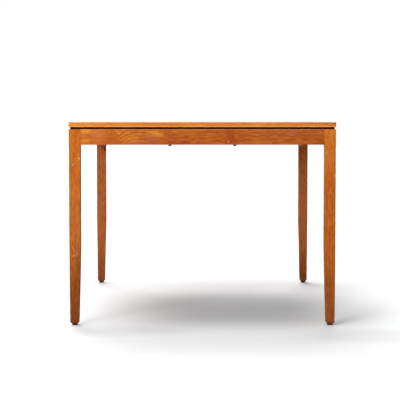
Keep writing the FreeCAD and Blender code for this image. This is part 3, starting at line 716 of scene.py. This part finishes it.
# %% Edge it with lippings
lipping_tones = dict(hardwood, body=(0.72, 0.225, 0.03), deep=(0.56, 0.145, 0.02))
lipping_boards = {
    "top_lipping_front": ("X", (0.06, 0.03, 0.3)),
    "top_lipping_back": ("X", (0.05, -0.05, 1.7)),
    "top_lipping_left": ("Y", (0.05, 0.04, 3.1)),
    "top_lipping_right": ("Y", (-0.04, 0.05, 4.9)),
}
for node, (grain, from_pith) in lipping_boards.items():
    wood = board(node, grain, from_pith, lipping_tones, ring_gap=0.003, wander=0.006, curl=0.35)
    x, z = wood.finish.apart(wood.finish.place())[::2]
    wood.tinted(x.rise(-0.22, -0.48) * 0.34, (0.93, 0.36, 0.052))
    wood.flecked(0.24)
    mottled = wood.pattern(0.3, 60.0, 3.0, 0.6)
    wood.tinted(mottled.rise(0.5, 0.66) * 0.3, (0.56, 0.135, 0.014))
    wood.tinted(mottled.rise(0.46, 0.32) * 0.25, (0.8, 0.31, 0.085))
    upper_edge = z.rise(0.7335, 0.7362)
    # Painted highlight along the lipping's lower edge, and painted shade on its underside in the gap
    lower_edge_highlight = z.rise(0.7228, 0.7208)
    underneath_shade = z.rise(0.7206, 0.7196)
    wood.tinted(upper_edge * x.rise(-0.2, 0.0) * 0.3, (0.48, 0.12, 0.012))
    wood.tinted(lower_edge_highlight * 0.85, (0.95, 0.48, 0.21))
    wood.tinted(underneath_shade * 0.94, (0.09, 0.009, 0.001))
    if node == "top_lipping_front":
        dent = ((x - 0.479) ** 2 + (z - 0.7335) ** 2).root().rise(0.0034, 0.0014)
        wood.tinted(dent * 0.85, (0.05, 0.02, 0.012))
    dress(node, wood.oiled())

# %% [markdown]
# ## What the eye sees least
# The core of the top is a board of pressed wood chips. The spacer strips make the shadow gap: they are
# stained dark, and the stain is taken nearly black with no shine, as painted shade for the gap. The cross
# rails and corner blocks are plain pale beech with no oil on it, only the fine marks of the planer: beech
# has short brown flecks in place of pores. Nobody finishes wood that stays unseen.

# %% Press the core
core_finish = new_finish("core_board")
chip_sockets = {"Vector": core_finish.place(), "Scale": 420}
chips = core_finish.node("TexVoronoi", {"distance": "CHEBYCHEV"}, chip_sockets, "Color")
chip_tone = core_finish.node("RGBToBW", sockets={0: chips})
core_colour = core_finish.mixed(chip_tone, (0.33, 0.2, 0.1), (0.62, 0.44, 0.26))
dress("top_core", core_finish.surface(core_colour, 0.85, chip_tone, 0.0003))

# %% Stain the spacers
spacer_grains = {"spacer_front": "X", "spacer_back": "X", "spacer_left": "Y", "spacer_right": "Y"}
for node, grain in spacer_grains.items():
    finish = new_finish(node + "_stain_and_shade")
    tree = in_the_tree(finish, node, grain, (0.03, 0.02, 0.5))
    fibres = finish.noise(finish.stretched(tree, 1.0, 0.03), 260.0, 3.0, 0.6)
    # Painted shade: a dark stain taken nearly black with no shine, to stand for the shade inside the gap
    stain_and_shade = finish.mixed(fibres.rise(0.3, 0.75), (0.014, 0.0015, 0.0004), (0.05, 0.0065, 0.0012))
    dress(node, finish.surface(stain_and_shade, 0.9, fibres, 0.0002, Specular_IOR_Level=0.0))

# %% Plane the frame timber
beech = {
    "pale": (0.74, 0.52, 0.32),
    "body": (0.6, 0.37, 0.2),
    "deep": (0.47, 0.26, 0.13),
    "vein": (0.27, 0.13, 0.06),
    "blush": (0.62, 0.36, 0.22),
}
planer_pace = 900
frame_boards = {
    "cross_rail_front": ("X", (0.06, 0.02, 0.8)),
    "cross_rail_back": ("X", (0.04, -0.03, 2.9)),
    "corner_block_front_left": ("Z", (0.05, 0.03, 1.0)),
    "corner_block_front_right": ("Z", (-0.04, 0.05, 2.2)),
    "corner_block_back_right": ("Z", (0.06, -0.02, 3.3)),
    "corner_block_back_left": ("Z", (-0.05, 0.04, 4.5)),
}
for node, (grain, from_pith) in frame_boards.items():
    wood = board(node, grain, from_pith, beech, "_beech", ring_gap=0.0038, wander=0.012, curl=0.2)
    planed = wood.finish.apart(wood.tree)[2] * planer_pace
    ripples = planed.maths("SINE", planed) * 0.15
    dress(node, wood.finish.surface(wood.colour, 0.72, wood.relief + ripples, 0.0002))

# %% [markdown]
# ## Metal and plastic
# The bolts in the corners and the screws are zinc plated: a thin, cool, silvery coat with a cloudy shine.
# The bolts that hold the top are black: the steel is boiled in salts until its skin turns to black oxide,
# and then oiled. The inserts are cast from a yellowish alloy. The glides are moulded from dark brown
# plastic with a finely etched skin, so that they don't shine. Metal takes its colour from what it mirrors,
# so roughness, and how evenly it is laid, is most of what tells one plating from another.

# %% Plate the metal and mould the plastic
def metal(name, colour, roughness, cloud):
    """Plated or blackened metal, with cloudy patches and the finest pits."""
    finish = new_finish(name)
    clouds = finish.noise(finish.place(), 210.0, 3.0, 0.6)
    pits = finish.noise(finish.place(), 5200.0, 1.0)
    pit_depth = 0.00001
    shine = roughness + (clouds - 0.5) * cloud
    darker = [part * 0.72 for part in colour]
    tone = finish.mixed(clouds.rise(0.35, 0.7), colour, darker)
    return finish.surface(tone, shine, pits, pit_depth, Metallic=1.0)


zinc_plate = metal("zinc_steel", (0.66, 0.68, 0.71), 0.34, 0.3)
black_oxide = metal("black_steel", (0.16, 0.092, 0.066), 0.46, 0.25)
yellow_alloy = metal("insert_alloy", (0.62, 0.52, 0.3), 0.4, 0.2)

glide_finish = new_finish("glide_plastic")
etched = glide_finish.noise(glide_finish.place(), 3200)
scuffs = glide_finish.noise(glide_finish.place(), 160.0, 3.0, 0.7).rise(0.52, 0.72)
glide_tone = glide_finish.mixed(scuffs * 0.5, (0.04, 0.018, 0.01), (0.085, 0.05, 0.034))
etching_depth = 0.00004
glide_shine = 0.55 + scuffs * 0.2
brown_plastic = glide_finish.surface(glide_tone, glide_shine, etched, etching_depth,
                                     Specular_IOR_Level=0.35)

for node in ("end_bolt_inserts", "side_bolt_inserts"):
    dress(node, yellow_alloy)
dress("glide_nails", zinc_plate)

# A coat is a material and the name of its slot
black = (black_oxide, "black_steel")
zinc = (zinc_plate, "zinc_steel")
plastic = (brown_plastic, "glide_plastic")

# %% [markdown]
# ## Fasteners from hoops
# A bolt, a nut or a washer is turned or pressed about one axis, so each is a stack of hoops. Every hoop
# begins as a circle round the axis. Left round, it gives turned metal. Pushed out to a hexagon it gives
# flats, to a cross a screw's recess, and with high and low points the curved chamfer of a nut. Blender
# bridges a skin between two neighbouring hoops, and each such pair is welded to the next. A thread is one
# sharp ridge, wound round the rod as a die would cut it. The skin is closed at the ends, and shaded smooth
# except where an edge is truly sharp. Sizes are in millimetres.

# %% Hoops, skins and ridges
mm = 0.001
hoop_points = 48
steps_a_turn = 24
sharp_edge = math.radians(32)
next_turn = 137
# A spin lists its faces in no fixed order, so all are counted off along this line
slant = Vector((1, 0.37, 0.11))


def hoop(height, reach):
    """How high a hoop lies and how far it reaches, each a number or a rule for an angle."""
    return height, reach


def laid(shape, height, reach):
    """Lay a hoop in a shape: a circle, pushed out and up by its two rules."""
    corners = bmesh.ops.create_circle(shape, segments=hoop_points, radius=1)["verts"]
    for corner in corners:
        angle = math.atan2(corner.co.y, corner.co.x)
        out = reach(angle) if callable(reach) else reach
        up = height(angle) if callable(height) else height
        corner.co = Vector((corner.co.x * out, corner.co.y * out, up)) * mm
    return list({edge for corner in corners for edge in corner.link_edges})


def hexagon(flats):
    """The rule for a hexagon, measured across its flats."""
    return lambda angle: flats / 2 / math.cos(angle % (math.pi / 3) - math.pi / 6)


def cross(arm, half_width):
    """The rule for a cross of four arms."""
    def reach(angle):
        lean = min(angle % (math.pi / 2), math.pi / 2 - angle % (math.pi / 2))
        return min(arm / math.cos(lean), half_width / max(math.sin(lean), 0.01))
    return reach


def rounded(middle_reach, middle_height, radius, start, end, steps=6):
    """Hoops along a rounded edge, from one angle of its arc to another."""
    hoops = []
    for step in range(steps + 1):
        angle = math.radians(start + (end - start) * step / steps)
        up, out = radius * math.sin(angle), radius * math.cos(angle)
        hoops.append(hoop(middle_height + up, middle_reach + out))
    return hoops


def skinned(hoops, ring=False):
    """Bridge a stack of hoops, or a ring in which the last hoop meets the first, and weld the seams."""
    shape = bmesh.new()
    following = hoops[1:] + hoops[:1] if ring else hoops[1:]
    for lower, upper in zip(hoops, following):
        bmesh.ops.bridge_loops(shape, edges=laid(shape, *lower) + laid(shape, *upper))
    bmesh.ops.remove_doubles(shape, verts=shape.verts, dist=0.0001 * mm)
    return shape


def outline(shape, section, height=0):
    """Lay the closed outline of a section beside the axis, ready to be spun round it."""
    corners = [shape.verts.new(Vector((out, 0, height + up)) * mm) for out, up in section]
    edges = [shape.edges.new(pair) for pair in zip(corners, corners[1:] + corners[:1])]
    return corners + edges


def wind_ridge(shape, root, crest, start, end, pitch):
    """Wind a thread's ridge round a rod."""
    half_base = 0.42 * pitch
    section = [(root, -half_base), (crest, 0), (root, half_base)]
    steps = round((end - start) / pitch * steps_a_turn)
    climb = (0, 0, pitch * mm / steps_a_turn)
    bmesh.ops.spin(shape, geom=outline(shape, section, start), cent=(0, 0, 0), axis=(0, 0, 1), dvec=climb,
                   angle=math.tau * steps / steps_a_turn, steps=steps)


def closed(shape):
    """Close the open ends, turn every face outwards, and put all in a fixed order."""
    open_edges = [edge for edge in shape.edges if edge.is_boundary]
    bmesh.ops.holes_fill(shape, edges=open_edges, sides=0)
    bmesh.ops.recalc_face_normals(shape, faces=shape.faces)
    shape.verts.sort(key=lambda corner: corner.co.dot(slant))
    shape.faces.sort(key=lambda face: face.calc_center_median().dot(slant))
    return shape


# %% Put copies where the CAD has them
def set_out(name, pattern, places, coat, node):
    """One object holding a copy of a pattern piece at each place, shown instead of a CAD node."""
    material, slot = coat
    pattern_mesh = bpy.data.meshes.new(name + "_pattern")
    pattern.to_mesh(pattern_mesh)
    pattern.free()
    together = bmesh.new()
    for place in places:
        copy = pattern_mesh.copy()
        copy.transform(place)
        together.from_mesh(copy)
        bpy.data.meshes.remove(copy)
    bpy.data.meshes.remove(pattern_mesh)
    mesh = bpy.data.meshes.new(name)
    together.to_mesh(mesh)
    together.free()
    mesh.shade_smooth()
    mesh.set_sharp_from_angle(angle=sharp_edge)
    mesh.materials.append(material)
    piece = bpy.data.objects.new(name, mesh)
    bpy.context.scene.collection.objects.link(piece)
    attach(piece, "root")
    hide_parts(node)
    print(name, "holds", len(places), "copies,", len(mesh.polygons), "faces")


def standing_at(x, y, z, turn):
    """A place with the piece's axis upright, turned in degrees about it."""
    return Matrix.Translation(Vector((x, y, z))) @ Matrix.Rotation(math.radians(turn), 4, "Z")


print("every hoop has", hoop_points, "points")

# %% [markdown]
# ## The bolts that hold the top
# Two stand under every end apron on each side of the middle, and four under every side apron. They go up
# through the apron and the shadow gap into the threaded inserts. Each has a round-edged head with a hexagon
# socket, a split spring washer that keeps it from working loose, and a flat washer that spreads its pull.
# Nobody lines up bolt heads, so each is turned 137 degrees on from the last.

# %% Turn the black bolts
apron_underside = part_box("end_apron_front")[0].z
washer_thickness = 1.6 * mm
head_seat = apron_underside - 2 * washer_thickness

half_apron = 11 * mm
end_line = -frame_front - half_apron
side_line = -frame_side - half_apron
rail_line = 0.254
inner_side = rail_line / 2
outer_side = (rail_line - leg_high.y) / 2
inner_end = 0.117
outer_end = 0.357
end_rows = (-outer_end, -inner_end, inner_end, outer_end)
side_rows = (-outer_side, -inner_side, inner_side, outer_side)
end_places = [(x, y) for y in (-end_line, end_line) for x in end_rows]
side_places = [(x, y) for x in (-side_line, side_line) for y in side_rows]


def socket_bolt():
    """A bolt with its head's seat at 0, the head below it and the thread above."""
    shaft = [hoop(75, 2.35), hoop(74.4, 2.75), hoop(55, 2.75), hoop(54.4, 3), hoop(0.3, 3)]
    head = [hoop(0, 3.3), hoop(0, 5.85), hoop(-0.15, 6)] + rounded(4.6, -1.5, 1.4, 0, -90)
    socket = [hoop(-2.9, 2.55), hoop(-2.72, hexagon(4)), hoop(-0.95, hexagon(4)), hoop(-0.9, 1.6)]
    bolt = skinned(shaft + head + socket)
    wind_ridge(bolt, 2.6, 3, 56, 74, 1)
    return closed(bolt)


def flat_washer(bore, diameter, thickness):
    """A stamped washer: round on the side where the punch came in, and sharper on the other."""
    inner, outer = bore / 2, diameter / 2
    punched = [hoop(0, inner + 0.1), hoop(0, outer - 0.35), hoop(0.12, outer - 0.1), hoop(0.35, outer)]
    sharper = [hoop(thickness - 0.08, outer), hoop(thickness, outer - 0.08), hoop(thickness, inner + 0.1)]
    bore_wall = [hoop(thickness - 0.1, inner), hoop(0.1, inner)]
    return closed(skinned(punched + sharper + bore_wall, ring=True))


def spring_washer():
    """A ring cut through once, with its ten-degree gap."""
    shape = bmesh.new()
    going_out = [(3.2, 0), (5.6, 0), (5.8, 0.2), (5.8, 1.4)]
    coming_back = [(5.6, 1.6), (3.2, 1.6), (3.1, 1.5), (3.1, 0.1)]
    bmesh.ops.spin(shape, geom=outline(shape, going_out + coming_back), cent=(0, 0, 0), axis=(0, 0, 1),
                   angle=math.radians(350), steps=50)
    return closed(shape)


for row, places, first_turn in (("end", end_places, 20), ("side", side_places, 71)):
    bolts, springs, flats = [], [], []
    for number, (x, y) in enumerate(places):
        turn = first_turn + number * next_turn
        bolts.append(standing_at(x, y, head_seat, turn))
        springs.append(standing_at(x, y, head_seat, turn * 1.7))
        flats.append(standing_at(x, y, head_seat + washer_thickness, turn * 0.6))
    set_out("black_" + row + "_bolts", socket_bolt(), bolts, black, row + "_top_bolts")
    set_out("split_" + row + "_washers", spring_washer(), springs, black, row + "_bolt_spring_washers")
    set_out("flat_" + row + "_washers", flat_washer(6.2, 12, 1.6), flats, black, row + "_bolt_washers")

# %% [markdown]
# ## The hanger bolts
# A hanger bolt is a wood screw at one end and a machine screw at the other. The screw end is driven into
# the leg through its inner arris. The other end comes through the corner block, where a washer and a
# hexagon nut pull the leg hard against the shoulders of both aprons. That is how a table leg is made to
# come off again. A nut's corners are turned away in a lathe, and where that cone cuts the flats it leaves
# six arches. Here the arches come from letting each point of the hoop drop by as much as it reaches past
# the round bearing face.

# %% Turn the hanger bolts, washers and nuts
def hanger_bolt():
    """A bolt whose 0 is at the leg's inner arris, with the screw end below it."""
    rod = [hoop(-27.9, 0.15), hoop(-21, 2.8), hoop(-0.5, 2.9), hoop(0.5, 3.6), hoop(6.5, 3.6),
           hoop(7, 3.35), hoop(42.3, 3.35), hoop(43.05, 2.8)]
    bolt = skinned(rod)
    wind_ridge(bolt, 2.6, 4, -20.2, -1.5, 3)
    wind_ridge(bolt, 3.2, 4, 7.6, 41.6, 1.25)
    return closed(bolt)


def hexagon_nut(flats, bore, height):
    """A nut whose corners are turned away at 30 degrees on both faces."""
    side = hexagon(flats)
    bearing = flats / 2 - 0.25

    def drop(angle):
        return (side(angle) - bearing) * math.tan(math.radians(30))

    def upper(angle):
        return height - drop(angle)

    inner = bore / 2
    below = [hoop(0.4, inner), hoop(0, inner + 0.4), hoop(0, bearing), hoop(drop, side)]
    above = [hoop(upper, side), hoop(height, bearing), hoop(height, inner + 0.4), hoop(height - 0.4, inner)]
    return closed(skinned(below + above, ring=True))


apron_low, apron_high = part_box("end_apron_front")
apron_middle = (apron_low.z + apron_high.z) / 2
leg_diagonal = 42 * mm * math.sqrt(2)
above_middle = 11 * mm
along_diagonal = []
for number in range(8):
    side_x = -1 if number % 2 else 1
    side_y = -1 if number // 2 % 2 else 1
    height = apron_middle + (above_middle if number < 4 else -above_middle)
    inwards = Vector((-side_x, -side_y, 0)).to_track_quat("Z", "Y").to_matrix().to_4x4()
    outer_corner = Matrix.Translation(Vector((-side_x * frame_side, -side_y * frame_front, height)))
    along_diagonal.append(outer_corner @ inwards @ standing_at(0, 0, leg_diagonal, 15 + number * next_turn))

block_face = 32 * mm
nut_seat = block_face + washer_thickness
washer_places = [place @ Matrix.Translation((0, 0, block_face)) for place in along_diagonal]
nut_places = [place @ Matrix.Translation((0, 0, nut_seat)) for place in along_diagonal]
set_out("threaded_hanger_bolts", hanger_bolt(), along_diagonal, zinc, "hanger_bolts")
set_out("stamped_washers", flat_washer(9, 18, 1.6), washer_places, zinc, "hanger_bolt_washers")
set_out("hexagon_nuts", hexagon_nut(13, 8.1, 6.5), nut_places, zinc, "hanger_bolt_nuts")

# %% [markdown]
# ## The cross-rail screws and the glides
# Six pan-headed screws hold the middle of the top down to the cross rails. The recess in each head narrows
# towards its floor, so that a driver wedges itself in. The glides are moulded round the heads of their
# nails, with a soft edge that lets the table be pushed over a seam in the floor, and a small dimple in the
# middle of the sole where the plastic ran into the mould.

# %% Turn the screws
def pan_screw():
    """A screw with its head's seat at 0, the head below it and the thread above."""
    shank = [hoop(37.95, 0.12), hoop(33, 1.55), hoop(9, 1.6), hoop(8, 2.2), hoop(0.3, 2.2)]
    head = [hoop(0, 2.5), hoop(0, 4.4), hoop(-0.1, 4.5)] + rounded(2.5, -1, 2, 0, -84)
    recess = [hoop(-2.98, cross(2.15, 0.55)), hoop(-1.2, cross(1.25, 0.35))]
    screw = skinned(shank + head + recess)
    wind_ridge(screw, 1.4, 2.25, 10, 33, 2)
    return closed(screw)


rail_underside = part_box("cross_rail_front")[0].z
screw_gap = 0.3
screw_places = []
for number in range(6):
    x = (number % 3 - 1) * screw_gap
    y = -rail_line if number < 3 else rail_line
    screw_places.append(standing_at(x, y, rail_underside, 33 + number * next_turn))
set_out("pan_screws", pan_screw(), screw_places, zinc, "cross_rail_screws")


# %% Mould the glides
def moulded_glide():
    """A glide standing on 0, with the pocket of its nail."""
    sole = [hoop(0.3, 0.9), hoop(0.05, 1.3), hoop(0, 1.6)]
    wall = rounded(6, 5, 5, -90, 0, 10) + [hoop(8.7, 11), hoop(9, 10.7)]
    pocket = [hoop(9, 1.6), hoop(8.9, 1.55), hoop(5.55, 1.55), hoop(5.55, 4.05), hoop(4, 4.05)]
    return closed(skinned(sole + wall + pocket))


for corner in ("front_left", "front_right", "back_right", "back_left"):
    glide_low, glide_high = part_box("glide_" + corner)
    middle = (glide_low + glide_high) / 2
    foot_place = standing_at(middle.x, middle.y, 0, 0)
    set_out("moulded_glide_" + corner, moulded_glide(), [foot_place], plastic, "glide_" + corner)
